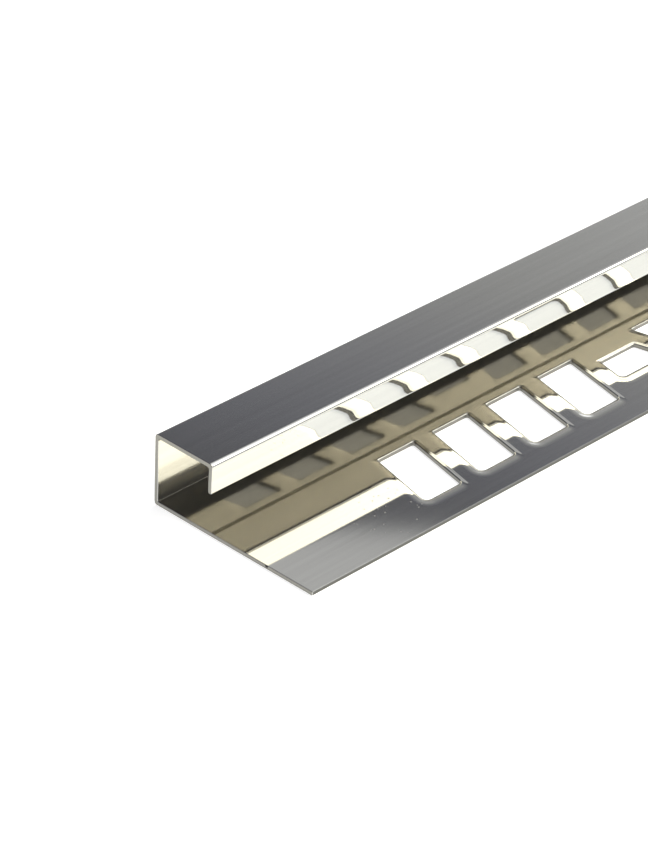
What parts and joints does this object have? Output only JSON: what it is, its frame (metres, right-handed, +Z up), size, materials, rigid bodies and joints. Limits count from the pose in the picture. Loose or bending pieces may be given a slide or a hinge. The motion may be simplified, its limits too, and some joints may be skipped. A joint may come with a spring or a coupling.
{
  "type": "tile edge trim",
  "caption": "Polished stainless steel tile edge trim: a folded box edge with a slotted flange that beds in the tile adhesive.",
  "frame": {"origin": "middle of the underside, at half the length and half the flange's width", "axes": "+X along the trim, from the cut end that the picture shows; +Y across it, towards the box edge's back face; +Z up, from the flange's underside to the top face"},
  "size_m": [1, 0.0266, 0.01],
  "materials": {
    "steel": "mirror-polished stainless steel"
  },
  "bodies": {
    "root": {"edge_trim": "steel"}
  },
  "joints": []
}
